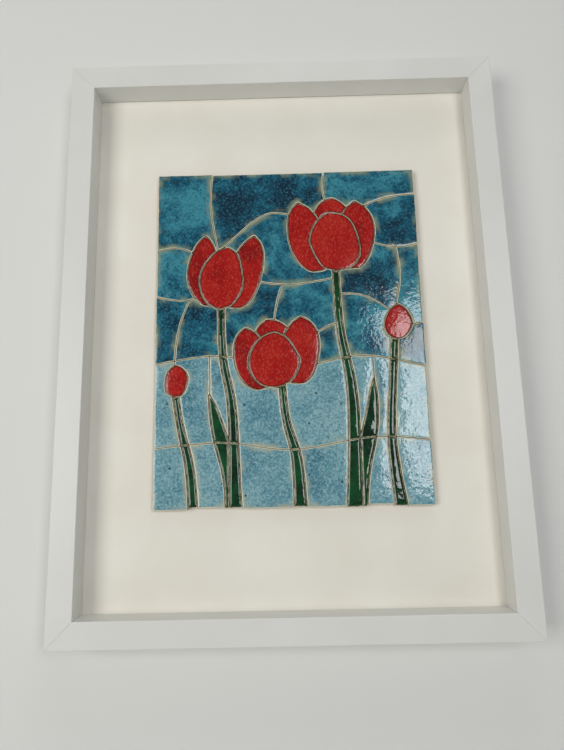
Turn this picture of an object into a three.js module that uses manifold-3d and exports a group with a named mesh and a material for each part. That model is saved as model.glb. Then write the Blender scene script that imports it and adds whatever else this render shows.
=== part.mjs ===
// A picture of hand-cut glazed tiles, glued to a mount board in a deep white frame, made to hang on a wall.
//
// Millimetres, +X to the right, +Z up and +Y towards the wall. The frame's wall side lies on y = 0, and the
// origin is the middle of the top rail's wall side, where the frame bears on the wall.
//
// The picture is drawn in a plane of its own, x to the right and y up from its middle, and z out of the
// board. Its tiles are cut as a potter cuts them: blooms, stems and leaves are outlines of their own, and
// what is left of the slab round them is parted along a few curved joints.

import * as THREE from "three";
import { mergeVertices } from "three/addons/utils/BufferGeometryUtils.js";
import Module from "manifold-3d";

const wasm = await Module();
wasm.setup();

// ---- Driving dimensions ----------------------------------------------------------------------------------

const TOUCH = 0.3; // left between two pieces that touch
const FRAME = {
  width: 330,
  height: 432,
  depth: 30,
  face: 18, // width of the front face of a rail
  lip: 18, // from the front face back to the mount board
  rebate: 8, // width of the step that takes the board and the back panel
};
const BOARD = { thickness: 2, play: 0.5 };
const BACK = { thickness: 3, play: 1 };
const TAB = { width: 13, reach: 15, thickness: 0.8, fromMiddle: 120 };
const HANGER = {
  length: 46,
  height: 13,
  sheet: 1,
  standOff: 2.4, // from the back panel to the underside of the bridge
  foot: 9,
  fromTop: 44,
  tooth: 3,
  nail: 2.2, // radius of a nail head
};
const PICTURE = { width: 200, height: 256, thickness: 5, offset: 2 };
const JOINT = { gap: 0.7, chamfer: 0.9 };
const STEM = { neck: 2.2, chamfer: 1.6 }; // half width under the bloom, and the chamfer of a domed edge
const TRIM = 0.5; // how far a tile's outer edge may stray from the true rectangle
const STEP = 9; // length of one straight piece of a curved joint
const WOBBLE = 0.07; // how unsteady the hand that cuts a shape is, as a share of its half width
const ROW = 80; // twice the height of a row, by which the grounds' tiles are numbered
const NARROWEST = 0.08; // half width of the blunt end of a pointed shape

const COLOUR = {
  white: "#dcdcd8",
  board: "#ded9cc",
  hardboard: "#7a5636",
  steel: "#b4b6b8",
  red: "#9a1f19",
  green: "#0f3d20",
  teal: "#2a6477",
  pale: "#78a0aa",
};

// ---- Solids ----------------------------------------------------------------------------------------------

// A closed geometry as a solid that can be cut.
function solid(geometry) {
  const bare = geometry.clone();
  bare.deleteAttribute("normal");
  bare.deleteAttribute("uv");
  const merged = mergeVertices(bare, 1e-4);
  return new wasm.Manifold(
    new wasm.Mesh({
      numProp: 3,
      vertProperties: merged.attributes.position.array,
      triVerts: new Uint32Array(merged.index.array),
    }),
  );
}

// A cut solid as a geometry.
function geometryOf(made) {
  const mesh = made.getMesh();
  const position = new Float32Array(mesh.numVert * 3);
  for (let i = 0; i < mesh.numVert; i += 1) {
    position.set(mesh.vertProperties.subarray(i * mesh.numProp, i * mesh.numProp + 3), i * 3);
  }
  const geometry = new THREE.BufferGeometry();
  geometry.setAttribute("position", new THREE.BufferAttribute(position, 3));
  geometry.setIndex(new THREE.BufferAttribute(mesh.triVerts, 1));
  geometry.computeVertexNormals();
  return geometry;
}

function finish(colour, roughness, metalness = 0) {
  return new THREE.MeshStandardMaterial({ color: COLOUR[colour], roughness, metalness });
}

function named(name, geometry, material) {
  const mesh = new THREE.Mesh(geometry, material);
  mesh.name = name;
  return mesh;
}

function boxAt(width, height, low, high) {
  return new THREE.BoxGeometry(width, height, high - low).translate(0, 0, (low + high) / 2);
}

// ---- Outlines --------------------------------------------------------------------------------------------

const at = (x, y) => new THREE.Vector2(x, y);

// A shape drawn along a centreline, halfWidth(t) to each side of it. Called with a distance, it gives the
// closed outline, counterclockwise, that lies so far outside the shape, or inside it for a negative one.
function blade(centreline, halfWidth, steps) {
  const curve = new THREE.SplineCurve(centreline.map(([x, y]) => at(x, y)));
  return (outside = 0) => {
    const right = [];
    const left = [];
    for (let i = 0; i <= steps; i += 1) {
      const t = i / steps;
      const tangent = curve.getTangent(t);
      const end = Number(i === steps) - Number(i === 0);
      const middle = curve.getPoint(t).addScaledVector(tangent, end * outside);
      const normal = at(tangent.y, -tangent.x);
      const aside = (turn) => {
        const cut = halfWidth(t) * (1 + WOBBLE * Math.sin(turn * t + centreline[0][0])) + outside;
        return Math.max(cut, NARROWEST);
      };
      right.push(middle.clone().addScaledVector(normal, aside(9)));
      left.unshift(middle.clone().addScaledVector(normal, -aside(-7)));
    }
    return [...right, ...left];
  };
}

// An upright solid from one outline to another one that has as many points.
function loft(lower, upper, low, high) {
  const depth = high - low;
  const geometry = new THREE.ExtrudeGeometry(new THREE.Shape(lower), { depth, bevelEnabled: false });
  const position = geometry.attributes.position;
  for (let i = 0; i < position.count; i += 1) {
    const top = position.getZ(i) > 0;
    const corner = lower.findIndex((p) => Math.hypot(p.x - position.getX(i), p.y - position.getY(i)) < 1e-4);
    const { x, y } = (top ? upper : lower)[corner];
    position.setXYZ(i, x, y, top ? high : low);
  }
  return solid(geometry);
}

// ---- Tiles -----------------------------------------------------------------------------------------------

const THICK = PICTURE.thickness;
const BELOW = -2; // cutters start under the slab and end above it
const ABOVE = THICK + 2;
const slab = solid(boxAt(PICTURE.width + 8, PICTURE.height + 8, 0, THICK));

// A tile in its own shape, its upper edge taken off by a chamfer.
function tile(shape, chamfer = JOINT.chamfer) {
  const edge = THICK - chamfer;
  return loft(shape(), shape(), 0, edge).add(loft(shape(), shape(-chamfer), edge, THICK));
}

// A groove over the shape that widens upwards, and so chamfers the edges of its neighbours.
const GROOVE = THICK - JOINT.chamfer;
function score(shape, gap) {
  return loft(shape(gap), shape(gap + ABOVE - GROOVE), GROOVE, ABOVE);
}

// What a tile takes out of its neighbours: itself, the joint round it, and their chamfered edges.
function cutter(shape, gap = JOINT.gap) {
  return loft(shape(gap), shape(gap), BELOW, GROOVE).add(score(shape, gap));
}

// The line of a joint that runs through these points, and the cuts along it, half the gap to each side.
function joint(points) {
  const length = points.slice(1).reduce((sum, p, i) => sum + at(...p).distanceTo(at(...points[i])), 0);
  return blade(points, () => 0, Math.max(2, Math.round(length / STEP)));
}
const scoredAlong = (line) => score(joint(line), JOINT.gap / 2);
const cutAlong = (line) => cutter(joint(line), JOINT.gap / 2);

// A tile's outer edge strays a little from the rectangle, another way on each tile.
function trimmed(made, turn) {
  const stray = (k) => TRIM * Math.sin(turn * 2.4 + k);
  const width = PICTURE.width + 2 * stray(0);
  const height = PICTURE.height + 2 * stray(1.7);
  const box = boxAt(width, height, BELOW, ABOVE).translate(stray(3.1) / 2, stray(4.4) / 2, 0);
  return made.intersect(solid(box));
}

// ---- The picture: tulips over two grounds ----------------------------------------------------------------

// Petal widths: full and round below, drawn to a blunt point above.
function petalWidth(half) {
  return (t) => half * (1 - (2 * t - 1) ** 2) ** (t < 0.5 ? 0.5 : 0.78);
}

// Petals of a tulip, in shares of the bloom's width and height.
const PETALS = {
  front: { line: [[0.02, 0.0], [0.04, 0.4], [-0.01, 0.8]], half: 0.29 },
  left: { line: [[-0.12, 0.03], [-0.29, 0.45], [-0.36, 0.97]], half: 0.23 },
  right: { line: [[0.14, 0.03], [0.3, 0.42], [0.33, 0.92]], half: 0.22 },
  back: { line: [[0.0, 0.3], [0.02, 0.65], [0.05, 1.0]], half: 0.25 },
};

// The blooms: where the neck is, their size, how far they lean, and their petals from the front one back.
// A negative width turns the bloom round.
const BLOOMS = [
  {
    name: "tall_tulip",
    neck: [36, 46],
    width: 64,
    height: 60,
    lean: -4,
    petals: ["front", "left", "right", "back"],
  },
  {
    name: "left_tulip",
    neck: [-51, 18],
    width: -54,
    height: 62,
    lean: 6,
    petals: ["front", "left", "right"],
  },
  {
    name: "low_tulip",
    neck: [-7, -42],
    width: -62,
    height: 52,
    lean: -7,
    petals: ["front", "right", "left", "back"],
  },
];
const BUDS = [
  { name: "right_bud", neck: [79, -8], width: 20, height: 27, lean: 7 },
  { name: "left_bud", neck: [-86, -48], width: 17, height: 24, lean: 4 },
];

// Stems from below the lower edge up into the blooms.
const STEMS = [
  { name: "tall_stem", line: [[43, -136], [45, -50], [38, 2], [36, 54]], foot: 6.2 },
  { name: "left_stem", line: [[-41, -136], [-43, -60], [-50, -20], [-51, 24]], foot: 4.6 },
  { name: "low_stem", line: [[5, -136], [3, -94], [-4, -66], [-7, -34]], foot: 5.4 },
  { name: "right_stem", line: [[77, -136], [72, -84], [75, -40], [79, 0]], foot: 4.4 },
  { name: "left_bud_stem", line: [[-71, -136], [-74, -100], [-81, -70], [-86, -40]], foot: 3.8 },
];
const LEAVES = [
  { name: "leaf_by_tall_stem", line: [[48, -134], [50, -100], [58, -68], [61, -38]], half: 5.6 },
  { name: "leaf_by_left_stem", line: [[-45, -134], [-45, -104], [-53, -74], [-60, -47]], half: 5.4 },
];

// Turns a bloom's own coordinates, in shares of its size, into the picture's.
function placed({ neck, width, height, lean }, [x, y]) {
  const point = at(x * width, y * height).rotateAround(at(0, 0), THREE.MathUtils.degToRad(-lean));
  return [neck[0] + point.x, neck[1] + point.y];
}

function petals(bloom) {
  return bloom.petals.map((petal) => {
    const { line, half } = PETALS[petal];
    const width = petalWidth(half * Math.abs(bloom.width));
    const shape = blade(line.map((p) => placed(bloom, p)), width, 11);
    return { name: `${bloom.name}_${petal}_petal`, shape, glaze: "red" };
  });
}

function bud(size) {
  const line = [[0, 0], [0.04, 0.5], [0, 1]].map((p) => placed(size, p));
  return { name: size.name, shape: blade(line, petalWidth(size.width / 2), 9), glaze: "red" };
}

function stem({ name, line, foot }) {
  const half = (t) => STEM.neck + (foot - STEM.neck) * (1 - t) ** 3;
  return { name, shape: blade(line, half, 10), glaze: "green" };
}

function leaf({ name, line, half }) {
  const width = (t) => half * Math.sin(Math.PI * (0.2 + 0.8 * t ** 1.3)) ** 0.8;
  return { name, shape: blade(line, width, 8), glaze: "green" };
}

// Figures from the front one to the hindmost: each one is cut round those before it.
const figures = [...BLOOMS.flatMap(petals), ...BUDS.map(bud), ...STEMS.map(stem), ...LEAVES.map(leaf)];

// The point of a joint at the share t of its length, where another one starts or ends.
function on(line, t) {
  const { x, y } = new THREE.SplineCurve(line.map((p) => at(...p))).getPoint(t);
  return [x, y];
}

// Where the dark upper ground meets the pale one, and the joint that parts the pale ground again.
const HORIZON_BAY = 54;
const HORIZON = [-26, -24, -18, -28, -20, -30, -32].map((y, i) => [(i - 3) * HORIZON_BAY, y]);
const LOW_JOINT = [[-108, -86], [-50, -82], [0, -88], [60, -80], [108, -84]];
const onHorizon = (x) => on(HORIZON, 0.5 + x / (6 * HORIZON_BAY));

// The joints of the upper ground, each from a bloom, a stem or another joint to the next.
const BETWEEN_BLOOMS = [[16, 88], [-16, 94], [-50, 66]];
const LEFT_EDGE = [[-60, 32], [-80, 25], [-108, 31]];
const OVER_LOW_BLOOM = [[-36, 42], [0, 36], [37, 41]];
const RIGHT_EDGE = [[60, 70], [84, 64], [108, 69]];
const UPPER_JOINTS = [
  BETWEEN_BLOOMS,
  LEFT_EDGE,
  OVER_LOW_BLOOM,
  RIGHT_EDGE,
  [[36, 90], [28, 112], [31, 136]],
  [[36, 84], [72, 104], [108, 108]],
  [[-52, 58], [-59, 100], [-57, 136]],
  [[-66, 60], [-84, 68], [-108, 64]],
  [onHorizon(-86), [-83, 4], on(LEFT_EDGE, 0.4)],
  [[-12, 4], [-9, 22], on(OVER_LOW_BLOOM, 0.44)],
  [[12, -8], [28, 3], [39, 6]],
  [[37, 28], [58, 26], [79, 12]],
  [[79, 12], [85, 40], on(RIGHT_EDGE, 0.48)],
  [[79, 4], [94, 3], [108, 7]],
];

// The pale ground is parted across, and from each leaf's tip up to the horizon.
const LOWER_JOINTS = [
  LOW_JOINT,
  [[-86, -34], onHorizon(-86)],
  ...LEAVES.map(({ line: [, , , [x, y]] }) => [[x, y - 5], [x + 0.5, y + 8], onHorizon(x)]),
];

function figureTiles() {
  const scores = [HORIZON, LOW_JOINT].map(scoredAlong);
  return figures.map(({ name, shape, glaze }, i) => {
    const green = glaze === "green";
    let made = trimmed(tile(shape, green ? STEM.chamfer : JOINT.chamfer), i);
    for (const nearer of figures.slice(0, i)) made = made.subtract(cutter(nearer.shape));
    if (green) for (const line of scores) made = made.subtract(line);
    return { name, made, glaze };
  });
}

// One ground, parted along its joints and named from the top down and from left to right.
function groundTiles(glaze, ground, joints) {
  let left = ground;
  for (const { shape } of figures) left = left.subtract(cutter(shape));
  for (const line of joints) left = left.subtract(cutAlong(line));
  const parted = left.decompose().map((made) => {
    const { min, max } = made.boundingBox();
    return { made, across: min[0] + max[0], up: min[1] + max[1] };
  });
  parted.sort((a, b) => Math.round((b.up - a.up) / ROW) || a.across - b.across);
  return parted.map(({ made }, i) => ({ name: `${glaze}_ground_${i + 1}`, made: trimmed(made, i), glaze }));
}

function tiles() {
  const halves = slab.subtract(cutAlong(HORIZON)).decompose();
  const [lower, upper] = halves.sort((a, b) => a.boundingBox().min[1] - b.boundingBox().min[1]);
  return [
    ...figureTiles(),
    ...groundTiles("teal", upper, UPPER_JOINTS),
    ...groundTiles("pale", lower, LOWER_JOINTS),
  ];
}

function picture() {
  const group = new THREE.Group();
  const gloss = { red: 0.28, green: 0.15, teal: 0.2, pale: 0.22 };
  for (const { name, made, glaze } of tiles()) {
    group.add(named(name, geometryOf(made), finish(glaze, gloss[glaze])));
  }
  return group;
}

// ---- Frame -----------------------------------------------------------------------------------------------

const wallSide = FRAME.face - FRAME.rebate; // width of a rail's wall side

// One rail as it lies at the top of a frame whose height or width is across. Its section is a square
// moulding with a step at the back, and both ends are mitred.
function railGeometry(length, across) {
  const { face, depth, lip } = FRAME;
  const step = depth - lip;
  const corners = [[0, 0], [wallSide, 0], [wallSide, step], [face, step], [face, depth], [0, depth]];
  const section = new THREE.Shape(corners.map(([inward, outward]) => at(inward, outward)));
  const geometry = new THREE.ExtrudeGeometry(section, { depth: length, bevelEnabled: false, steps: 1 });
  const position = geometry.attributes.position;
  const mitre = TOUCH / Math.SQRT2;
  for (let i = 0; i < position.count; i += 1) {
    const inward = position.getX(i);
    const end = position.getZ(i) > 0 ? 1 : -1;
    const outward = position.getY(i);
    position.setXYZ(i, -end * (length / 2 - inward - mitre), -outward, across / 2 - inward);
  }
  return geometry;
}

function frame() {
  const group = new THREE.Group();
  const white = finish("white", 0.35);
  ["top", "right", "bottom", "left"].forEach((side, quarter) => {
    const upright = quarter % 2 === 1;
    const length = upright ? FRAME.height : FRAME.width;
    const across = upright ? FRAME.width : FRAME.height;
    const rail = named(`frame_rail_${side}`, railGeometry(length, across), white);
    rail.rotation.y = (quarter * Math.PI) / 2;
    group.add(rail);
  });
  return group;
}

// ---- Board, back panel and what holds it -----------------------------------------------------------------

const boardFront = -(FRAME.depth - FRAME.lip) + TOUCH; // y of the face of the board, just behind the lip
const boardBack = boardFront + BOARD.thickness;
const panelFront = boardBack + TOUCH;
const panelBack = panelFront + BACK.thickness;
const opening = { width: FRAME.width - 2 * wallSide, height: FRAME.height - 2 * wallSide };

function sheet(name, play, front, back, material) {
  const [width, height] = [opening.width, opening.height].map((across) => across - 2 * play);
  const geometry = new THREE.BoxGeometry(width, back - front, height);
  return named(name, geometry.translate(0, (front + back) / 2, 0), material);
}

// A flat tab with a round end that reaches from the rebate over the back panel.
function tabGeometry() {
  const { width, reach, thickness } = TAB;
  const round = width / 2;
  const shape = new THREE.Shape();
  shape.moveTo(0, -round);
  shape.lineTo(reach - round, -round);
  shape.absarc(reach - round, 0, round, -Math.PI / 2, Math.PI / 2, false);
  shape.lineTo(0, round);
  const flat = { depth: thickness, bevelEnabled: false, curveSegments: 8 };
  return new THREE.ExtrudeGeometry(shape, flat).rotateX(Math.PI / 2).translate(0, thickness, 0);
}

function tabs() {
  const group = new THREE.Group();
  const steel = finish("steel", 0.35, 1);
  [1, -1].flatMap((side) => [1, -1].map((end) => [side, end])).forEach(([side, end], i) => {
    const tab = named(`retaining_tab_${i + 1}`, tabGeometry(), steel);
    tab.rotation.y = side > 0 ? Math.PI : 0;
    tab.position.set(side * (opening.width / 2 - TOUCH), panelBack + TOUCH, end * TAB.fromMiddle);
    group.add(tab);
  });
  return group;
}

// A strip bent into a low bridge that is nailed down at each foot. Its toothed lower edge hangs on a nail.
function hangerGeometry() {
  const { length, height, sheet: gauge, standOff, foot, tooth, nail } = HANGER;
  const half = length / 2;
  const span = half - foot;
  const crease = gauge / 2;
  const rightHalf = [
    [span - standOff, standOff],
    [span, 0],
    [half, 0],
    [half, gauge],
    [span + crease, gauge],
    [span - standOff + crease, standOff + gauge],
  ];
  const leftHalf = rightHalf.map(([x, y]) => [-x, y]).reverse();
  const strip = new THREE.Shape([...rightHalf, ...leftHalf].map(([x, y]) => at(x, y)));
  const bent = new THREE.ExtrudeGeometry(strip, { depth: height, bevelEnabled: false });
  let made = solid(bent.translate(0, 0, -height / 2));
  const toothed = span - standOff - tooth;
  for (let x = -toothed; x <= toothed + 1e-6; x += (2 * toothed) / 8) {
    const notch = new THREE.Shape([at(x - tooth / 2, 0), at(x + tooth / 2, 0), at(x, tooth * 0.8)]);
    const wedge = new THREE.ExtrudeGeometry(notch, { depth: 3 * standOff, bevelEnabled: false });
    made = made.subtract(solid(wedge.rotateX(Math.PI / 2).translate(0, 2.5 * standOff, -height / 2 - 0.01)));
  }
  for (const side of [1, -1]) {
    const head = new THREE.CylinderGeometry(nail * 0.8, nail, gauge * 2, 12).translate(0, gauge, 0);
    made = made.add(solid(head.translate(side * (half - foot / 2), 0, 0)));
  }
  return geometryOf(made);
}

// ---- The whole -------------------------------------------------------------------------------------------

const middle = -(FRAME.height - wallSide) / 2; // the frame's middle under the origin

const body = new THREE.Group();
body.position.z = middle;
body.add(frame());
body.add(sheet("mount_board", BOARD.play, boardFront, boardBack, finish("board", 0.9)));
body.add(sheet("back_panel", BACK.play, panelFront, panelBack, finish("hardboard", 0.8)));
body.add(tabs());

const hanger = named("hanger_plate", hangerGeometry(), finish("steel", 0.35, 1));
hanger.position.set(0, panelBack + TOUCH, FRAME.height / 2 - HANGER.fromTop);
body.add(hanger);

const tilePicture = picture();
tilePicture.position.set(PICTURE.offset, boardFront - TOUCH, 0);
tilePicture.rotation.x = Math.PI / 2;
body.add(tilePicture);

const group = new THREE.Group();
group.add(body);

export default group;
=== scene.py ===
"""A picture of hand-cut glazed tiles in a deep white frame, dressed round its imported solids.

Every tile is made again from the outline of its solid, with a rolled edge, a glaze that lies in soft
waves and a lip of bare clay. The frame, the board and the fittings behind are made again from their own
solids.
"""

import logging
import math
from dataclasses import dataclass
from enum import Enum
from typing import ClassVar, Optional, Sequence

import bmesh
import bpy
from mathutils import Matrix, Vector, noise
from mathutils.bvhtree import BVHTree


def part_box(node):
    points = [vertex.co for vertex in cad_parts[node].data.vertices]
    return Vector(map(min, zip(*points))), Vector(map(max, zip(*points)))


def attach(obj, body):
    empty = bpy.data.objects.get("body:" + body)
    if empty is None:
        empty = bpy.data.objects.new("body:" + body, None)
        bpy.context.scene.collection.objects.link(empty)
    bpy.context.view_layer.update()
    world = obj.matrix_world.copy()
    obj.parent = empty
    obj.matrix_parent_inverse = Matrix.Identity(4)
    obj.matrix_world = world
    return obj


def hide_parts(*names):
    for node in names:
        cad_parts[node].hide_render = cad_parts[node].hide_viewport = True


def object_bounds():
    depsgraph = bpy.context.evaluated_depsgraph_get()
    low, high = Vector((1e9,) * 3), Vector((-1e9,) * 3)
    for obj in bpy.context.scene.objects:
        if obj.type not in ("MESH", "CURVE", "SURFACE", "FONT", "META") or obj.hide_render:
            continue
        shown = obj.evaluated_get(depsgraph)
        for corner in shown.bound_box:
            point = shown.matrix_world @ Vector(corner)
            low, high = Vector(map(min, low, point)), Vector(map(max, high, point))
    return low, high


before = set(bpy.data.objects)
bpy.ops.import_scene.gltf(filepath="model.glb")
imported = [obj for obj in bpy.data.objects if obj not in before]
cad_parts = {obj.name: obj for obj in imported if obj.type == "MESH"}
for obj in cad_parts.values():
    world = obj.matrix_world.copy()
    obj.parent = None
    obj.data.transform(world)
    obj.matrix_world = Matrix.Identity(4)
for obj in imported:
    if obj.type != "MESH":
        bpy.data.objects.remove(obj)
CAD_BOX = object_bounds()

LOG = logging.getLogger("mosaic_panel")
MM = 0.001
ROOT = "root"
WELD = 2e-5  # metres, under which two corners of a solid are one
SNAP = 1e-5  # metres, within which a cut through a face goes through its corner
FINE_SNAP = 1e-7  # metres, for a cut across a stem
NOISE = (0.3, 0.7)  # between which nearly all of a noise pattern lies
FLAT = math.radians(0.6)  # the most by which two faces of one plane differ

# Fired stoneware clay, from the foot of a tile's side to its brink: buff, darker brown just
# under the lip, and cream on the lip itself.
CLAY = [(0.0, "#b8a37c"), (0.70, "#9a7a4c"), (0.94, "#7c5528"), (0.975, "#b5a074"), (1.0, "#dfd7b9")]
BURNT = "#14242a"  # iron that came through the glaze

Socket = bpy.types.NodeSocket


# ---- Helpers -----------------------------------------------------------------------------------------


def linear(code: str) -> tuple[float, float, float, float]:
    """Turns an sRGB hex colour into linear light.

    Args:
        code: The colour, such as "#9a1f19".

    Returns:
        Red, green, blue and a full alpha for a shader socket.
    """
    shares = [int(code[i : i + 2], 16) / 255 for i in (1, 3, 5)]
    red, green, blue = (c / 12.92 if c <= 0.04045 else ((c + 0.055) / 1.055) ** 2.4 for c in shares)
    return red, green, blue, 1.0


def per(size_mm: float) -> float:
    """Gives the texture scale at which a pattern repeats about every size_mm on an object in metres."""
    return 1.0 / (size_mm * MM)


def add(
    tree: bpy.types.NodeTree,
    kind: str,
    values: Optional[dict] = None,
    links: Optional[dict] = None,
    stops: Sequence[tuple[float, str]] = (),
    **settings: object,
) -> bpy.types.Node:
    """Adds a shader node with its settings and links.

    Args:
        tree: The material's node tree.
        kind: The node's type, without its "ShaderNode".
        values: Numbers or colours by socket.
        links: Output sockets by the input socket that they feed.
        stops: Places and hex colours of a colour ramp.
        settings: Properties of the node itself.

    Returns:
        The new node.
    """
    node = tree.nodes.new("ShaderNode" + kind)
    for name, value in settings.items():
        setattr(node, name, value)
    for socket, value in (values or {}).items():
        node.inputs[socket].default_value = value
    for socket, source in (links or {}).items():
        tree.links.new(source, node.inputs[socket])
    for i, (place, code) in enumerate(stops):
        elements = node.color_ramp.elements
        element = elements[i] if i < 2 else elements.new(place)
        element.position = place
        element.color = linear(code)
    return node


def new_material(name: str) -> tuple[bpy.types.Material, bpy.types.NodeTree, bpy.types.Node]:
    """Makes a material with one Principled shader.

    Args:
        name: What the real material is called.

    Returns:
        The material, its node tree and the shader.
    """
    material = bpy.data.materials.new(name)
    material.use_nodes = True
    tree = material.node_tree
    return material, tree, tree.nodes["Principled BSDF"]


def copied(node: str) -> bmesh.types.BMesh:
    """Copies a solid's mesh, merges its loose triangles and joins those that lie in one plane.

    Args:
        node: The name of the CAD node.

    Returns:
        The copy.
    """
    bm = bmesh.new()
    bm.from_mesh(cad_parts[node].data)
    bmesh.ops.remove_doubles(bm, verts=bm.verts[:], dist=WELD)
    bmesh.ops.dissolve_limit(bm, angle_limit=FLAT, verts=bm.verts[:], edges=bm.edges[:])
    return bm


def placed(
    bm: bmesh.types.BMesh,
    name: str,
    material: bpy.types.Material,
    nodes: Sequence[str] = (),
) -> bpy.types.Object:
    """Turns a finished mesh into an object that rides on the body and stands for its solids.

    Args:
        bm: The mesh, which is freed.
        name: The object's name.
        material: Its only material.
        nodes: CAD nodes that it replaces. With none, the object isn't part of the model.

    Returns:
        The object.
    """
    mesh = bpy.data.meshes.new(name)
    bm.to_mesh(mesh)
    bm.free()
    mesh.materials.append(material)
    made = bpy.data.objects.new(name, mesh)
    bpy.context.scene.collection.objects.link(made)
    if nodes:
        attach(made, ROOT)
        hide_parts(*nodes)
        LOG.info("%s: %d faces", name, len(mesh.polygons))
    return made


# ---- Finishes ----------------------------------------------------------------------------------------


@dataclass(frozen=True)
class Glaze:
    """Glossy stoneware glaze over cream clay, brushed on and fired, with a lip of bare clay."""

    name: str
    deep: str  # where it lies thick
    body: str
    thin: str  # where it lies thin
    speck: str  # darker grains in it
    speck_share: float
    pale_grain_and_painted_glint: str  # paler grains in it, and painted glints
    pale_grain_and_painted_glint_share: float
    halo: str  # runs beside a cut edge
    halo_width: float  # mm
    halo_share: float
    rim: str  # just inside the lip
    rim_strength: float
    rim_width: float = 0.7  # mm
    cloud: float = 26.0  # mm from one cloud of colour to the next
    mottle: float = 5.0  # mm
    grain: float = 1.9  # mm
    peel: float = 1.5  # mm from one dimple of the surface to the next
    peel_depth: float = 0.05  # mm
    roughness: float = 0.12
    streak: float = 1.0  # how much longer than wide the mottles are
    lip: float = 0.45  # mm of bare clay at the edge
    ragged: float = 0.9  # mm that the lip's width strays
    spot_share: float = 0.0  # how dark the few iron spots are

    ior: ClassVar[float] = 1.52
    bare_roughness: ClassVar[float] = 0.75  # of the clay at the lip and down the side
    brushed: ClassVar[float] = 0.5  # radians, the slant of the brush strokes
    tones: ClassVar[float] = 0.20  # how far the clouds lift from the darkest tile to the palest
    mottled: ClassVar[float] = 0.50  # how strongly the mottles show in the clouds
    depths: ClassVar[tuple[float, float, float]] = (0.57, 0.74, 0.92)  # of deep, body and thin
    dark_grains: ClassVar[tuple[float, float]] = (0.53, 0.66)  # where they begin, and are full
    # the pale grains are partly painted glints
    pale_grain_and_glint_levels: ClassVar[tuple[float, float]] = (0.47, 0.34)
    patches: ClassVar[tuple[float, float]] = (0.47, 0.60)  # the same for the halos
    halo_full: ClassVar[float] = 0.6  # mm from the edge, within which a halo is at its palest
    rim_fade: ClassVar[float] = 0.6  # share of the rim's width over which it comes up
    patch: ClassVar[float] = 17.0  # mm from one halo to the next
    straying: ClassVar[float] = 4.0  # mm that a halo's width strays
    spots: ClassVar[float] = 34.0  # mm from one burnt spot to the next
    spot_core: ClassVar[float] = 0.018  # radius of a spot's dark middle, as a share of that
    spot_reach: ClassVar[float] = 0.034  # where it fades out
    blend: ClassVar[float] = 0.12  # mm, half the width over which glaze turns to clay
    clay_foot: ClassVar[float] = -4.4  # mm from the edge, down the side, where CLAY begins
    clay_brink: ClassVar[float] = 0.15  # mm inside the edge, where it ends

    def material(self) -> bpy.types.Material:
        """Builds the glaze, its lip and its clay as one material.

        Returns:
            The material, which reads the edge and tone attributes of a tile.
        """
        material, tree, shader = new_material(self.name)
        coordinates = add(tree, "TexCoord").outputs["Object"]
        edge = add(tree, "Attribute", attribute_name=TileMaker.EDGE).outputs["Fac"]
        tone = add(tree, "Attribute", attribute_name=TileMaker.TONE).outputs["Fac"]
        away = add(tree, "CombineXYZ", {}, {"X": tone, "Z": tone}).outputs[0]
        shifted = add(tree, "Mapping", {}, {"Vector": coordinates, "Location": away}).outputs[0]
        drawn = add(
            tree,
            "Mapping",
            {"Scale": (1.0, 1.0, 1.0 / self.streak), "Rotation": (0.0, self.brushed, 0.0)},
            {"Vector": shifted},
        ).outputs[0]
        mottle = add(
            tree,
            "TexNoise",
            {"Scale": per(self.mottle), "Detail": 3.0, "Roughness": 0.65},
            {"Vector": drawn},
        ).outputs[0]
        body = self.clouded(tree, shifted, drawn, mottle, tone)
        glazed = self.marked(tree, coordinates, shifted, mottle, edge, body)
        colour, bare = self.lipped(tree, mottle, edge, glazed)
        tree.links.new(colour, shader.inputs["Base Color"])

        rough = add(
            tree, "MapRange", {1: 0.0, 2: 1.0, 3: self.roughness, 4: self.bare_roughness}, {0: bare}
        ).outputs[0]
        tree.links.new(rough, shader.inputs["Roughness"])
        dimple = add(
            tree,
            "TexNoise",
            {"Scale": per(self.peel), "Detail": 1.0, "Roughness": 0.5},
            {"Vector": shifted},
        ).outputs[0]
        bump = add(
            tree, "Bump", {"Strength": 1.0, "Distance": self.peel_depth * MM}, {"Height": dimple}
        ).outputs[0]
        tree.links.new(bump, shader.inputs["Normal"])
        shader.inputs["IOR"].default_value = self.ior
        return material

    def clouded(
        self, tree: bpy.types.NodeTree, shifted: Socket, drawn: Socket, mottle: Socket, tone: Socket
    ) -> Socket:
        """Mixes the glaze's own colours, in clouds, mottles and grains, and paints glints among the
        pale grains.

        Args:
            tree: The material's node tree.
            shifted: Coordinates that differ from tile to tile.
            drawn: The same, drawn out along the brush strokes.
            mottle: The mottles.
            tone: The tile's own number.

        Returns:
            The colour.
        """
        cloud = add(
            tree,
            "TexNoise",
            {"Scale": per(self.cloud), "Detail": 5.0, "Roughness": 0.6},
            {"Vector": shifted},
        ).outputs[0]
        grain = add(
            tree,
            "TexNoise",
            {"Scale": per(self.grain), "Detail": 2.0, "Roughness": 0.75},
            {"Vector": drawn},
        ).outputs[0]

        # Clouds, lifted or lowered from tile to tile, then mottles in them.
        lifted = add(
            tree, "Math", {1: self.tones, 2: -self.tones / 2}, {0: tone}, operation="MULTIPLY_ADD"
        ).outputs[0]
        clouds = add(tree, "Math", {}, {0: cloud, 1: lifted}, operation="ADD").outputs[0]
        mixed = add(
            tree, "Math", {1: self.mottled}, {0: mottle, 2: clouds}, operation="MULTIPLY_ADD"
        ).outputs[0]
        stops = list(zip(self.depths, (self.deep, self.body, self.thin)))
        body = add(tree, "ValToRGB", {}, {"Fac": mixed}, stops).outputs[0]
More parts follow.
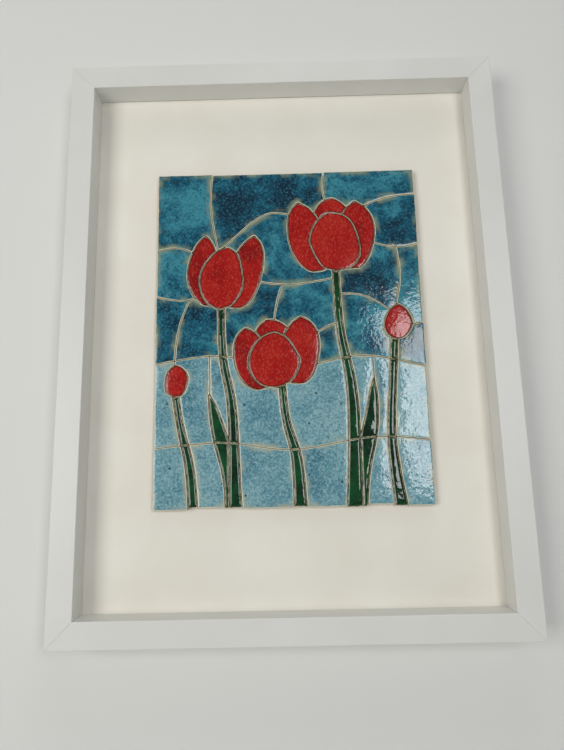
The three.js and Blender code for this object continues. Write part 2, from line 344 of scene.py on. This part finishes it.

        # Grains of a darker oxide, and paler grains that also stand in for painted glints of light.
        start, full = self.dark_grains
        dark = add(
            tree, "MapRange", {1: start, 2: full, 3: 0.0, 4: self.speck_share}, {0: grain}
        ).outputs[0]
        start, full = self.pale_grain_and_glint_levels
        pale = add(
            tree, "MapRange", {1: start, 2: full, 3: 0.0, 4: self.pale_grain_and_painted_glint_share}, {0: grain}
        ).outputs[0]
        specked = add(
            tree, "Mix", {7: linear(self.speck)}, {0: dark, 6: body}, data_type="RGBA"
        ).outputs[2]
        return add(
            tree, "Mix", {7: linear(self.pale_grain_and_painted_glint)}, {0: pale, 6: specked}, data_type="RGBA"
        ).outputs[2]

    def marked(
        self,
        tree: bpy.types.NodeTree,
        coordinates: Socket,
        shifted: Socket,
        mottle: Socket,
        edge: Socket,
        body: Socket,
    ) -> Socket:
        """Lays the halos, the burnt spots and the line inside the lip over the glaze; that line is
        pooled glaze, and on the red partly painted shade.

        Args:
            tree: The material's node tree.
            coordinates: Object coordinates.
            shifted: Coordinates that differ from tile to tile.
            mottle: The mottles.
            edge: Distance from the tile's edge, in mm.
            body: The glaze's colour.

        Returns:
            The colour with its marks.
        """
        # A pale, thin run of glaze beside some of the edges.
        patch = add(
            tree, "TexNoise", {"Scale": per(self.patch), "Detail": 3.0}, {"Vector": shifted}
        ).outputs[0]
        start, full = self.patches
        here = add(
            tree, "MapRange", {1: start, 2: full, 3: 0.0, 4: self.halo_share}, {0: patch}
        ).outputs[0]
        wavy = add(
            tree,
            "Math",
            {1: self.straying, 2: -self.straying / 2},
            {0: mottle},
            operation="MULTIPLY_ADD",
        ).outputs[0]
        reach = add(tree, "Math", {}, {0: edge, 1: wavy}, operation="ADD").outputs[0]
        near = add(
            tree, "MapRange", {1: self.halo_width, 2: self.halo_full, 3: 0.0, 4: 1.0}, {0: reach}
        ).outputs[0]
        haloed = add(tree, "Math", {}, {0: here, 1: near}, operation="MULTIPLY").outputs[0]
        with_halo = add(
            tree, "Mix", {7: linear(self.halo)}, {0: haloed, 6: body}, data_type="RGBA"
        ).outputs[2]

        # A few spots where iron in the clay burnt through, each under 2 mm wide.
        flat = (math.pi / 2, 0.0, 0.0)  # turns the picture's plane into the pattern's
        laid = add(tree, "Mapping", {"Rotation": flat}, {"Vector": coordinates}).outputs[0]
        apart = add(
            tree, "TexVoronoi", {"Scale": per(self.spots)}, {"Vector": laid}, voronoi_dimensions="2D"
        ).outputs["Distance"]
        spot = add(
            tree,
            "MapRange",
            {1: self.spot_core, 2: self.spot_reach, 3: self.spot_share, 4: 0.0},
            {0: apart},
        ).outputs[0]
        spotted = add(
            tree, "Mix", {7: linear(BURNT)}, {0: spot, 6: with_halo}, data_type="RGBA"
        ).outputs[2]

        # The glaze pools into a line just inside the lip; where the line is dark, as on the red, it is
        # partly painted shade along the edge.
        inner = self.lip + self.rim_width
        line = add(
            tree,
            "MapRange",
            {1: inner, 2: inner - self.rim_fade * self.rim_width, 3: 0.0, 4: self.rim_strength},
            {0: edge},
        ).outputs[0]
        return add(
            tree, "Mix", {7: linear(self.rim)}, {0: line, 6: spotted}, data_type="RGBA"
        ).outputs[2]

    def lipped(
        self, tree: bpy.types.NodeTree, mottle: Socket, edge: Socket, glazed: Socket
    ) -> tuple[Socket, Socket]:
        """Bares the clay at the edge: cream on the lip, brown just under it and buff down the side.

        Args:
            tree: The material's node tree.
            mottle: The mottles, which make the lip's width stray.
            edge: Distance from the tile's edge, in mm, and under zero on its side.
            glazed: The glaze's colour.

        Returns:
            The colour, and how bare the clay is.
        """
        strayed = add(
            tree, "Math", {1: self.ragged}, {0: mottle, 2: edge}, operation="MULTIPLY_ADD"
        ).outputs[0]
        middle = self.lip + 0.5 * self.ragged
        bare = add(
            tree,
            "MapRange",
            {1: middle - self.blend, 2: middle + self.blend, 3: 1.0, 4: 0.0},
            {0: strayed},
        ).outputs[0]
        depth = add(tree, "MapRange", {1: self.clay_foot, 2: self.clay_brink}, {0: edge}).outputs[0]
        clay = add(tree, "ValToRGB", {}, {"Fac": depth}, CLAY).outputs[0]
        mixed = add(tree, "Mix", {}, {0: bare, 6: glazed, 7: clay}, data_type="RGBA").outputs[2]
        return mixed, bare


@dataclass(frozen=True)
class Coat:
    """A plain surface with a fine grain: what its colour, its grain and its gloss are."""

    name: str
    colour: str
    shade: str  # the darker end of its own slight variation
    roughness: float
    grain: float  # mm
    grain_depth: float  # mm
    variation: float  # mm
    metallic: float = 0.0
    fibre: float = 0.0  # how strongly the grain shows as colour

    contrast: ClassVar[float] = 0.25  # how far from its middle the pattern has one colour only
    uneven: ClassVar[float] = 0.05  # how much the roughness strays

    def material(self) -> bpy.types.Material:
        """Builds the surface.

        Returns:
            The material.
        """
        material, tree, shader = new_material(self.name)
        coordinates = add(tree, "TexCoord").outputs["Object"]
        broad = add(
            tree, "TexNoise", {"Scale": per(self.variation), "Detail": 3.0}, {"Vector": coordinates}
        ).outputs[0]
        fine = add(
            tree,
            "TexNoise",
            {"Scale": per(self.grain), "Detail": 3.0, "Roughness": 0.6},
            {"Vector": coordinates},
        ).outputs[0]
        both = add(
            tree, "Math", {1: self.fibre}, {0: fine, 2: broad}, operation="MULTIPLY_ADD"
        ).outputs[0]
        middle = 0.5 + 0.5 * self.fibre
        colour = add(
            tree,
            "ValToRGB",
            {},
            {"Fac": both},
            [(middle - self.contrast, self.shade), (min(1.0, middle + self.contrast), self.colour)],
        ).outputs[0]
        tree.links.new(colour, shader.inputs["Base Color"])
        rough = add(
            tree,
            "MapRange",
            {
                1: NOISE[0],
                2: NOISE[1],
                3: self.roughness - self.uneven,
                4: self.roughness + self.uneven,
            },
            {0: broad},
        ).outputs[0]
        tree.links.new(rough, shader.inputs["Roughness"])
        bump = add(
            tree, "Bump", {"Strength": 1.0, "Distance": self.grain_depth * MM}, {"Height": fine}
        ).outputs[0]
        tree.links.new(bump, shader.inputs["Normal"])
        shader.inputs["Metallic"].default_value = self.metallic
        return material


# Teal glaze over cream clay: clouds from navy where it pooled to turquoise where it ran thin.
TEAL = Glaze(
    name="teal_stoneware_glaze",
    deep="#042b40",
    body="#10586f",
    thin="#3b8898",
    speck="#05263a",
    speck_share=0.6,
    pale_grain_and_painted_glint="#4f93a2",
    pale_grain_and_painted_glint_share=0.45,
    halo="#929c7c",
    halo_width=4.5,
    halo_share=0.85,
    rim="#3d7478",
    rim_strength=0.4,
    peel=2.4,
    peel_depth=0.11,
    roughness=0.10,
    spot_share=0.5,
)
# Pale blue glaze with fine dark specks, a few burnt spots and a pitted skin that glitters; its pale
# specks are painted glints as well as paler grains.
PALE = Glaze(
    name="pale_blue_stoneware_glaze",
    deep="#4c8090",
    body="#6a9ba8",
    thin="#82abb2",
    speck="#235263",
    speck_share=0.55,
    pale_grain_and_painted_glint="#b4cdd0",
    pale_grain_and_painted_glint_share=0.5,
    halo="#b9b798",
    halo_width=4.0,
    halo_share=0.7,
    rim="#8aa9a8",
    rim_strength=0.4,
    cloud=32.0,
    mottle=3.6,
    grain=1.5,
    peel=2.5,
    peel_depth=0.14,
    roughness=0.09,
    spot_share=0.8,
)
# Orange-red glaze, brushed in short strokes, that gathers dark beside its lip; that dark line is partly
# painted shade.
RED = Glaze(
    name="red_stoneware_glaze",
    deep="#850502",
    body="#a50c05",
    thin="#b01f14",
    speck="#8a0a06",
    speck_share=0.5,
    pale_grain_and_painted_glint="#bf5347",
    pale_grain_and_painted_glint_share=0.55,
    halo="#850d08",
    halo_width=2.5,
    halo_share=0.3,
    # a dark line inside the lip: pooled glaze, and painted shade along the edge
    rim="#3c0403",
    rim_strength=0.9,
    rim_width=1.1,
    cloud=20.0,
    mottle=2.4,
    grain=1.15,
    peel=2.2,
    peel_depth=0.15,
    roughness=0.14,
    streak=1.7,
    lip=0.26,
    ragged=0.7,
)
# Bottle green glaze laid thick enough to stand in a bead.
GREEN = Glaze(
    name="green_stoneware_glaze",
    deep="#01200d",
    body="#04381a",
    thin="#0d4c26",
    speck="#01180a",
    speck_share=0.4,
    pale_grain_and_painted_glint="#145730",
    pale_grain_and_painted_glint_share=0.3,
    halo="#2c5636",
    halo_width=1.6,
    halo_share=0.4,
    rim="#0a3a1d",
    rim_strength=0.4,
    cloud=14.0,
    mottle=4.0,
    peel=3.2,
    peel_depth=0.06,
    roughness=0.05,
    lip=0.34,
    ragged=1.7,
)
# White foil wrapped over a fibreboard moulding: satin, with the faintest skin.
WHITE_FOIL = Coat(
    name="white_foil_wrapped_moulding",
    colour="#dfdfdb",
    shade="#d8d8d3",
    roughness=0.42,
    grain=0.7,
    grain_depth=0.006,
    variation=60.0,
)
# Cream mount board, cut from sheet: a soft, toothed paper face.
MOUNT_BOARD = Coat(
    name="cream_mount_board",
    colour="#ece9df",
    shade="#e5e1d5",
    roughness=0.92,
    grain=0.8,
    grain_depth=0.03,
    variation=45.0,
)
# Pressed hardboard, its smooth side out: brown fibres under a faint press mark.
HARDBOARD = Coat(
    name="pressed_hardboard",
    colour="#86623f",
    shade="#6f4d30",
    roughness=0.7,
    grain=1.4,
    grain_depth=0.03,
    variation=70.0,
    fibre=0.9,
)
# Zinc-plated sheet steel, stamped: a dull grey metal with a slight spangle.
ZINC_STEEL = Coat(
    name="zinc_plated_steel",
    colour="#bfc1c2",
    shade="#a2a5a7",
    roughness=0.36,
    grain=1.0,
    grain_depth=0.01,
    variation=4.0,
    metallic=1.0,
)


# ---- Tiles -------------------------------------------------------------------------------------------


class TileKind(Enum):
    """What a tile shows, with its glaze, its slot, and how its face is shaped."""

    # The order is that of __init__: word, glaze, slot, roll, drop, crown, wave, ripple.
    PETAL = ("petal", RED, "red_glaze", 1.3, 0.5, 0.4, 0.05, 0.03)
    BUD = ("bud", RED, "red_glaze", 1.3, 0.5, 0.4, 0.05, 0.03)
    STEM = ("stem", GREEN, "green_glaze", 2.2, 1.0, 0.15, 0.12, 0.11)
    LEAF = ("leaf", GREEN, "green_glaze", 2.0, 0.9, 0.2, 0.12, 0.11)
    TEAL_GROUND = ("teal_ground", TEAL, "teal_glaze", 1.2, 0.42, 0.22, 0.1, 0.045)
    PALE_GROUND = ("pale_ground", PALE, "pale_glaze", 1.2, 0.42, 0.22, 0.12, 0.09)

    def __init__(
        self,
        word: str,
        glaze: Glaze,
        slot: str,
        roll: float,
        drop: float,
        crown: float,
        wave: float,
        ripple: float,
    ) -> None:
        """Keeps the sizes of the kind, in millimetres.

        Args:
            word: The part of a node's name that tells the kind.
            glaze: Its finish.
            slot: The name of its material slot.
            roll: Width of the rolled edge.
            drop: Height of the rolled edge.
            crown: How far the middle stands above the rolled edge.
            wave: Height of the glaze's broad waves.
            ripple: Height of its small ones.
        """
        self.word = word
        self.glaze = glaze
        self.slot = slot
        self.roll = roll
        self.drop = drop
        self.crown = crown
        self.wave = wave
        self.ripple = ripple

    @classmethod
    def of(cls, node: str) -> Optional["TileKind"]:
        """Tells what kind of tile a node is, or gives None for another piece."""
        if node.startswith(cls.LEAF.word):
            return cls.LEAF
        found = [kind for kind in cls if kind.word in node]
        return max(found, key=lambda kind: node.rfind(kind.word)) if found else None


@dataclass
class TileMaker:
    """Makes a tile again from its outline, with a rolled edge and a waved face. In millimetres."""

    kind: TileKind
    thickness: float = 5.0
    spacing: float = 0.8  # between the points of an outline
    nearest: float = 0.3  # outline points nearer than this become one
    cell: float = 0.75  # between the points of a face
    enough: float = 1.5  # cells, under which a strip isn't parted again
    sharp: float = 32.0  # degrees, above which a turn is a corner that stays
    corner_reach: float = 0.25  # width of the rolled edge at a corner
    rings: tuple[float, ...] = (0.08, 0.28, 0.6, 1.0)  # shares of the rolled edge's width
    joint: float = 0.7  # width of the joints in the solids
    grow: float = 0.16  # how much further out a tile's edge is, which narrows the joints
    passes: int = 22  # of smoothing along a curve
    easing: float = 0.5  # share of the way to its neighbours' middle that a pass moves a point
    softening: float = 0.25  # the same for the last pass, which takes the corners too
    room: float = 0.3  # share of a tile's width that the rolled edge may take
    widening: float = 0.45  # how fast the rolled edge grows wide along the outline
    swell: float = 19.0  # from one broad wave of the glaze to the next
    ripples: float = 6.0  # from one of its small waves to the next
    bead: float = 0.4  # how far inside the edge the face begins to rise to its crown
    dome: float = 5.0  # how far further in it has done most of that
    calm: float = 0.3  # how far inside the edge the waves begin
    calm_fade: float = 1.6  # how far further in they have their full height
    longest_mitre: float = 1.6  # how much further a corner may move inwards than its edges
    part_tone: float = 0.13  # added to the tone from one tile of a stem to the next

    EDGE = "edge_mm"
    TONE = "tone"

    def outline(self, node: str) -> tuple[bmesh.types.BMesh, float]:
        """Takes the back face of a tile's solid as one flat face.

        Args:
            node: The tile's CAD node.

        Returns:
            The flat mesh, and the Y of the tile's back in metres.
        """
        bm = copied(node)
        back = max(v.co.y for v in bm.verts)
        others = [f for f in bm.faces if any(abs(v.co.y - back) > WELD for v in f.verts)]
        bmesh.ops.delete(bm, geom=others, context="FACES")
        bmesh.ops.remove_doubles(bm, verts=bm.verts[:], dist=self.nearest * MM)
        return bm, back

    def smoothed(self, bm: bmesh.types.BMesh) -> None:
        """Rounds an outline's faceted curves strongly and its corners a little.

        Args:
            bm: The flat mesh, which is changed.
        """
        by_cuts: dict[int, list[bmesh.types.BMEdge]] = {}
        for edge in bm.edges:
            cuts = math.ceil(edge.calc_length() / (self.spacing * MM)) - 1
            by_cuts.setdefault(cuts, []).append(edge)
        for cuts, edges in by_cuts.items():
            if cuts > 0:
                bmesh.ops.bisect_edges(bm, edges=edges, cuts=cuts)
        soft = []
        for vert in bm.verts:
            one, two = (edge.other_vert(vert).co - vert.co for edge in vert.link_edges)
            if math.pi - one.angle(two, math.pi) < math.radians(self.sharp):
                soft.append(vert)
        for _ in range(self.passes):
            bmesh.ops.smooth_vert(bm, verts=soft, factor=self.easing, use_axis_x=True, use_axis_z=True)
        bmesh.ops.smooth_vert(
            bm, verts=bm.verts[:], factor=self.softening, use_axis_x=True, use_axis_z=True
        )

    @staticmethod
    def wall(bm: bmesh.types.BMesh) -> BVHTree:
        """Stands a wall on an outline, to measure how far a point is from it.

        Args:
            bm: The flat mesh.

        Returns:
            The wall as a tree of faces.
        """
        half = Vector((0.0, 50.0 * MM, 0.0))
        fence = bm.copy()
        bmesh.ops.delete(fence, geom=fence.faces[:], context="FACES_ONLY")
        bmesh.ops.translate(fence, verts=fence.verts[:], vec=-half)
        made = bmesh.ops.extrude_edge_only(fence, edges=fence.edges[:])
        raised = [g for g in made["geom"] if isinstance(g, bmesh.types.BMVert)]
        bmesh.ops.translate(fence, verts=raised, vec=2 * half)
        tree = BVHTree.FromBMesh(fence)
        fence.free()
        return tree

    def grid_cut(self, bm: bmesh.types.BMesh, faces: list, axis: int, low: float, high: float) -> list:
        """Parts flat faces into strips, halving them until a strip is one cell wide.

        Args:
            bm: The mesh, which is changed.
            faces: The faces to part.
            axis: 0 for X, 2 for Z.
            low: Where the faces begin along the axis.
            high: Where they end.

        Returns:
            The faces after the cuts.
        """
        if not faces or high - low < self.enough * self.cell * MM:
            return faces
        middle = (low + high) / 2
        normal = Vector((0.0, 0.0, 0.0))
        normal[axis] = 1.0
        edges = {edge for face in faces for edge in face.edges}
        verts = {vert for face in faces for vert in face.verts}
        cut = bmesh.ops.bisect_plane(
            bm, geom=[*faces, *edges, *verts], dist=SNAP, plane_co=normal * middle, plane_no=normal
        )
        parted = [g for g in cut["geom"] if isinstance(g, bmesh.types.BMFace)]
        under = [f for f in parted if f.calc_center_median()[axis] < middle]
        over = [f for f in parted if f.calc_center_median()[axis] >= middle]
        first = self.grid_cut(bm, under, axis, low, middle)
        return [*first, *self.grid_cut(bm, over, axis, middle, high)]

    def profile(self, distance: float) -> float:
        """Gives the height of the face over the shoulder, in mm, so far inside the outline in mm."""
        kind = self.kind
        share = min(1.0, distance / kind.roll)
        rolled = kind.drop * math.sqrt(1.0 - (1.0 - share) ** 2)
        return rolled + kind.crown * (1.0 - math.exp(-max(0.0, distance - self.bead) / self.dome))

    def waves(self, place: Vector, distance: float, tone: float) -> float:
        """Gives the unevenness of the fired glaze at a point, in mm."""
        fade = min(1.0, max(0.0, (distance - self.calm) / self.calm_fade))
        at = place + Vector((tone, tone, 0.0))
        broad = noise.noise(at * per(self.swell))
        fine = noise.noise(at * per(self.ripples))
        return fade * (self.kind.wave * broad + self.kind.ripple * fine)

    def ways(self, loop: list) -> list[Vector]:
        """Finds which way is inwards at each corner of a face that looks along -Y.

        Args:
            loop: The face's vertices in order.

        Returns:
            For each, the step that takes both its edges inwards by one.
        """
        found = []
        for i, vert in enumerate(loop):
            ahead = (loop[(i + 1) % len(loop)].co - vert.co).normalized()
            behind = (vert.co - loop[i - 1].co).normalized()
            along = (ahead + behind).normalized()
            way = Vector((0.0, -1.0, 0.0)).cross(along)
            found.append(way * min(self.longest_mitre, 1.0 / max(0.1, along.dot(ahead))))
        return found

    def reaches(self, loop: list, ways: list[Vector], wall: BVHTree) -> list[float]:
        """Finds how wide the rolled edge can be at each point of an outline.

        Args:
            loop: The outline's vertices in order.
            ways: Which way is inwards at each.
            wall: A wall on the outline.

        Returns:
            The widths in metres, narrow at a corner and where the tile itself is narrow.
        """
        widest = self.kind.roll * MM
        mitred = 1.0 / math.cos(math.radians(self.sharp) / 2)
        found = []
        for vert, way in zip(loop, ways):
            hit = wall.ray_cast(vert.co + way * WELD, way)[3]
            room = widest if hit is None else self.room * hit
            found.append(min(widest, room, self.corner_reach * MM if way.length > mitred else widest))

        # Twice round each way, so that it widens slowly on both sides of a narrow place.
        for step in (1, -1):
            for i in range(2 * len(loop)):
                here = (i * step) % len(loop)
                before = (here - step) % len(loop)
                gap = (loop[here].co - loop[before].co).length
                found[here] = min(found[here], found[before] + self.widening * gap)
        return found

    def body(self, bm: bmesh.types.BMesh, back: float, tone: float) -> None:
        """Raises one flat outline into a tile.

        Args:
            bm: The flat mesh with one face, which is changed.
            back: Y of the tile's back, in metres.
            tone: A number from 0 to 1 that is the tile's own.
        """
        self.smoothed(bm)
        inward = bm.verts.layers.float_vector.new("inward")
        edge_mm = bm.verts.layers.float.new(self.EDGE)
        front = bm.faces[:][0]
        front.normal_update()
        if front.normal.y > 0:
            front.normal_flip()
        loop = [corner.vert for corner in front.loops]
        ways = self.ways(loop)
        for vert, way in zip(loop, ways):
            vert.co -= way * self.grow * MM
        wall = self.wall(bm)
        shoulder = self.thickness - self.kind.drop - self.kind.crown
        for vert, way, reach in zip(loop, ways, self.reaches(loop, ways, wall)):
            vert[inward] = way * reach
            vert[edge_mm] = -shoulder

        # The side, then the rings of the rolled edge, all still in one plane.
        taken = 0.0
        for share in (0.0, *self.rings):
            under = front
            made = bmesh.ops.extrude_face_region(bm, geom=[under], use_keep_orig=True)
            front = next(g for g in made["geom"] if isinstance(g, bmesh.types.BMFace))
            if share > 0.0:
                bmesh.ops.delete(bm, geom=[under], context="FACES_ONLY")
            for vert in front.verts:
                vert.co += vert[inward] * (share - taken)
                vert[edge_mm] = 0.0
            taken = share
        xs = [v.co.x for v in front.verts]
        zs = [v.co.z for v in front.verts]
        strips = self.grid_cut(bm, [front], 0, min(xs), max(xs))
        self.grid_cut(bm, strips, 2, min(zs), max(zs))

        for vert in bm.verts:
            if vert[edge_mm] < 0.0:
                continue
            distance = wall.find_nearest(vert.co)[3] / MM
            vert[edge_mm] = distance
            height = shoulder + self.profile(distance) + self.waves(vert.co, distance, tone)
            vert.co.y = back - height * MM
        bm.verts.layers.float_vector.remove(inward)
        bmesh.ops.recalc_face_normals(bm, faces=bm.faces[:])
        for face in bm.faces:
            face.smooth = True

    def split(self, bm: bmesh.types.BMesh, node: str) -> None:
        """Parts a stem's outline where its solid is scored by the joints that cross it.

        Args:
            bm: The stem's flat outline, which is changed.
            node: The stem's CAD node.
        """
        solid = copied(node)
        level = min(v.co.y for v in solid.verts)
        parts = [f for f in solid.faces if all(abs(v.co.y - level) < WELD for v in f.verts)]
        bmesh.ops.dissolve_faces(solid, faces=parts)
        tops = [f for f in solid.faces if all(abs(v.co.y - level) < WELD for v in f.verts)]
        tops.sort(key=lambda f: f.calc_center_median().z)
        for lower, upper in zip(tops, tops[1:]):
            gaps = []
            for one, two in ((lower, upper), (upper, lower)):
                near = sorted(one.verts, key=lambda v: min((v.co - w.co).length for w in two.verts))
                gaps.append(sorted((v.co.copy() for v in near[:2]), key=lambda c: c.x))
            left = (gaps[0][0] + gaps[1][0]) / 2
            right = (gaps[0][1] + gaps[1][1]) / 2
            across = (right - left).normalized()
            normal = Vector((-across.z, 0.0, across.x))
            centre = (left + right) / 2
            half = self.joint / 2 * MM
            for side in (1, -1):
                bmesh.ops.bisect_plane(
                    bm,
                    geom=[*bm.faces, *bm.edges, *bm.verts],
                    dist=FINE_SNAP,
                    plane_co=centre + normal * side * half,
                    plane_no=normal,
                )
            sliver = [f for f in bm.faces if abs((f.calc_center_median() - centre).dot(normal)) < half]
            bmesh.ops.delete(bm, geom=sliver, context="FACES")
        solid.free()

    def make(self, node: str, material: bpy.types.Material, tone: float) -> bpy.types.Object:
        """Makes the tile of a node, or the few tiles of a stem that its joints cut.

        Args:
            node: The tile's CAD node.
            material: Its glaze.
            tone: A number from 0 to 1 that is the tile's own.

        Returns:
            The finished object.
        """
        flat, back = self.outline(node)
        if self.kind in (TileKind.STEM, TileKind.LEAF):
            self.split(flat, node)
        whole = bmesh.new()
        for i in range(len(flat.faces)):
            part = flat.copy()
            others = [f for j, f in enumerate(part.faces) if j != i]
            bmesh.ops.delete(part, geom=others, context="FACES")
            self.body(part, back, tone + self.part_tone * i)
            scratch = bpy.data.meshes.new("scratch")
            part.to_mesh(scratch)
            part.free()
            whole.from_mesh(scratch)
            bpy.data.meshes.remove(scratch)
        flat.free()
        layer = whole.verts.layers.float.new(self.TONE)
        for vert in whole.verts:
            vert[layer] = tone
        name = node.replace("ground", "tile") + "_glazed"
        return placed(whole, name, material, [node])


@dataclass
class TilePicture:
    """The picture: the tiles of the blooms, the buds, the stems, the leaves and the two grounds."""

    golden: float = 0.618034  # spreads the tiles' own numbers evenly from 0 to 1

    def build(self) -> None:
        """Makes every tile again and dresses it."""
        glazes = {glaze.name: glaze.material() for glaze in (TEAL, PALE, RED, GREEN)}
        for i, node in enumerate(sorted(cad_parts)):
            kind = TileKind.of(node)
            if kind is None:
                continue
            TileMaker(kind).make(node, glazes[kind.glaze.name], (i * self.golden) % 1.0)


# ---- Frame, board and fittings -----------------------------------------------------------------------


@dataclass
class BoxFrame:
    """Four mitred rails of a square moulding. In millimetres."""

    arris: float = 0.55  # radius of the rails' long edges
    mitre_arris: float = 0.07
    close: float = 0.17  # how far each end grows towards the mitre
    longest_end: float = 100.0  # an edge longer than this runs along its rail

    def build(self) -> None:
        """Makes the four rails, their mitres closed to a hairline."""
        foil = WHITE_FOIL.material()
        for side, axis in (("top", 0), ("right", 2), ("bottom", 0), ("left", 2)):
            node = f"frame_rail_{side}"
            bm = copied(node)
            low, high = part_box(node)
            middle = (low[axis] + high[axis]) / 2
            for vert in bm.verts:
                vert.co[axis] += math.copysign(self.close * MM, vert.co[axis] - middle)
            longest = self.longest_end * MM
            along = [e for e in bm.edges if abs((e.verts[0].co - e.verts[1].co)[axis]) > longest]
            self.rounded(bm, along, self.arris, 4)

            # The mitred ends look 45 degrees away from the rail's own direction.
            ends = [
                e
                for e in bm.edges
                if len(e.link_faces) == 2
                and any(abs(abs(f.normal[axis]) - math.sqrt(0.5)) < 0.01 for f in e.link_faces)
            ]
            self.rounded(bm, ends, self.mitre_arris, 1)
            placed(bm, f"{side}_rail_moulding", foil, [node])

    @staticmethod
    def rounded(bm: bmesh.types.BMesh, edges: list, radius: float, segments: int) -> None:
        """Rounds some edges of a mesh.

        Args:
            bm: The mesh, which is changed.
            edges: The edges.
            radius: Width of the rounding, in mm.
            segments: Faces across it.
        """
        bmesh.ops.bevel(
            bm,
            geom=edges,
            offset=radius * MM,
            offset_type="OFFSET",
            affect="EDGES",
            segments=segments,
            profile=0.5,
            material=-1,
            clamp_overlap=True,
        )
        bm.normal_update()


@dataclass
class Backing:
    """The board that carries the tiles, the panel behind it, and the fittings. In millimetres."""

    board_arris: float = 0.2
    panel_arris: float = 0.35
    steel_arris: float = 0.14
    crisp: float = 35.0  # degrees, above which an edge of the steel is rounded

    def build(self) -> None:
        """Makes the board, the panel, the tabs and the hanger plate."""
        sheets = (
            ("mount_board", "cream_board", MOUNT_BOARD, self.board_arris, "mount_board"),
            ("back_panel", "hardboard_back", HARDBOARD, self.panel_arris, "hardboard"),
        )
        for node, name, coat, arris, slot in sheets:
            bm = copied(node)
            BoxFrame.rounded(bm, bm.edges[:], arris, 2)
            placed(bm, name, coat.material(), [node])
        steel = ZINC_STEEL.material()
        for node in sorted(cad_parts):
            if not node.startswith(("retaining_tab", "hanger_plate")):
                continue
            bm = copied(node)
            edges = [e for e in bm.edges if e.calc_face_angle(0.0) > math.radians(self.crisp)]
            BoxFrame.rounded(bm, edges, self.steel_arris, 2)
            placed(bm, f"{node}_steel", steel, [node])


# ---- Stage -------------------------------------------------------------------------------------------


@dataclass
class Studio:
    """A pale wall and floor, the soft lights round the picture, and the camera. In metres."""

    eye: Vector = Vector((-0.0011, -0.4000, -0.3107))
    right: Vector = Vector((0.99968, 0.01240, -0.02217))
    up: Vector = Vector((0.02396, -0.17021, 0.98512))
    lens: float = 25.35  # mm, on a sensor 36 mm high
    wall_gap: float = 0.0004
    floor_drop: float = 1.2
    daylight: str = "#eef0f2"  # of the room
    daylight_strength: float = 0.21
    matt: float = 0.9  # roughness of the two paints
    wall_reach: float = 2.0
    floor_reach: float = 4.0

    def build(self) -> None:
        """Sets the stage, the lights and the camera."""
        self.surfaces()
        middle = (CAD_BOX[0] + CAD_BOX[1]) / 2
        self.lamp("left_softbox", Vector((-0.82, -1.05, -0.24)), middle, (0.60, 0.70), 7.5, "#fffdf9")
        self.lamp("right_softbox", Vector((0.43, -1.12, -0.12)), middle, (0.29, 0.54), 3.75, "#fbfdff")
        self.lamp("overhead_softbox", Vector((0.1, -0.60, 1.25)), middle, (0.50, 0.50), 3.7, "#ffffff")
        self.lamp("rear_softbox", Vector((0.5, 1.3, 0.6)), middle, (1.2, 1.2), 22.0, "#ffffff")
        self.camera()
        world = bpy.data.worlds.new("pale_room")
        world.use_nodes = True
        background = world.node_tree.nodes["Background"]
        background.inputs["Color"].default_value = linear(self.daylight)
        background.inputs["Strength"].default_value = self.daylight_strength
        bpy.context.scene.world = world
        bpy.context.scene.view_settings.view_transform = "Standard"

    def surfaces(self) -> None:
        """Makes the wall, which doesn't hide the back from a camera behind it, and the floor."""
        material, tree, shader = new_material("pale_matt_wall_paint")
        shader.inputs["Base Color"].default_value = linear("#dededb")
        shader.inputs["Roughness"].default_value = self.matt
        clear = add(tree, "BsdfTransparent").outputs[0]
        backfacing = add(tree, "NewGeometry").outputs["Backfacing"]
        both = add(tree, "MixShader", {}, {0: backfacing, 1: shader.outputs[0], 2: clear}).outputs[0]
        tree.links.new(both, tree.nodes["Material Output"].inputs["Surface"])
        tilt = Matrix.Rotation(math.radians(90), 4, "X")
        wall = bmesh.new()
        bmesh.ops.create_grid(wall, x_segments=1, y_segments=1, size=self.wall_reach)
        hung = Matrix.Translation((0, self.wall_gap, 0)) @ tilt
        bmesh.ops.transform(wall, matrix=hung, verts=wall.verts)
        backdrop = placed(wall, "wall", material)
        backdrop.visible_shadow = False
        paint, _, plain = new_material("pale_matt_floor_paint")
        plain.inputs["Base Color"].default_value = linear("#dcdcd9")
        plain.inputs["Roughness"].default_value = self.matt
        ground = bmesh.new()
        bmesh.ops.create_grid(ground, x_segments=1, y_segments=1, size=self.floor_reach)
        bmesh.ops.translate(ground, verts=ground.verts, vec=(0, 0, -self.floor_drop))
        placed(ground, "floor", paint)

    @staticmethod
    def lamp(
        name: str, place: Vector, target: Vector, size: tuple[float, float], watts: float, colour: str
    ) -> None:
        """Hangs a soft light that faces a point.

        Args:
            name: The light's name.
            place: Where it hangs.
            target: What it faces.
            size: Its width and height.
            watts: Its power.
            colour: Its colour.
        """
        light = bpy.data.lights.new(name, "AREA")
        light.shape = "RECTANGLE"
        light.size, light.size_y = size
        light.energy = watts
        light.color = linear(colour)[:3]
        made = bpy.data.objects.new(name, light)
        turn = (target - place).to_track_quat("-Z", "Y").to_matrix().to_4x4()
        made.matrix_world = Matrix.Translation(place) @ turn
        bpy.context.scene.collection.objects.link(made)

    def camera(self) -> None:
        """Sets up the camera."""
        data = bpy.data.cameras.new("camera")
        data.lens = self.lens
        data.sensor_width = 36.0
        data.clip_start = 0.01
        made = bpy.data.objects.new("camera", data)
        backward = self.right.cross(self.up)
        turn = Matrix((self.right, self.up, backward)).transposed().to_4x4()
        made.matrix_world = Matrix.Translation(self.eye) @ turn
        bpy.context.scene.collection.objects.link(made)
        bpy.context.scene.camera = made


def main() -> None:
    """Builds the picture, its frame, what is behind it and the stage."""
    logging.basicConfig(level=logging.INFO, format="%(name)s: %(message)s")
    for part in (BoxFrame(), Backing(), TilePicture(), Studio()):
        part.build()
        LOG.info("%s is built", type(part).__name__)


if __name__ == "__main__":
    main()
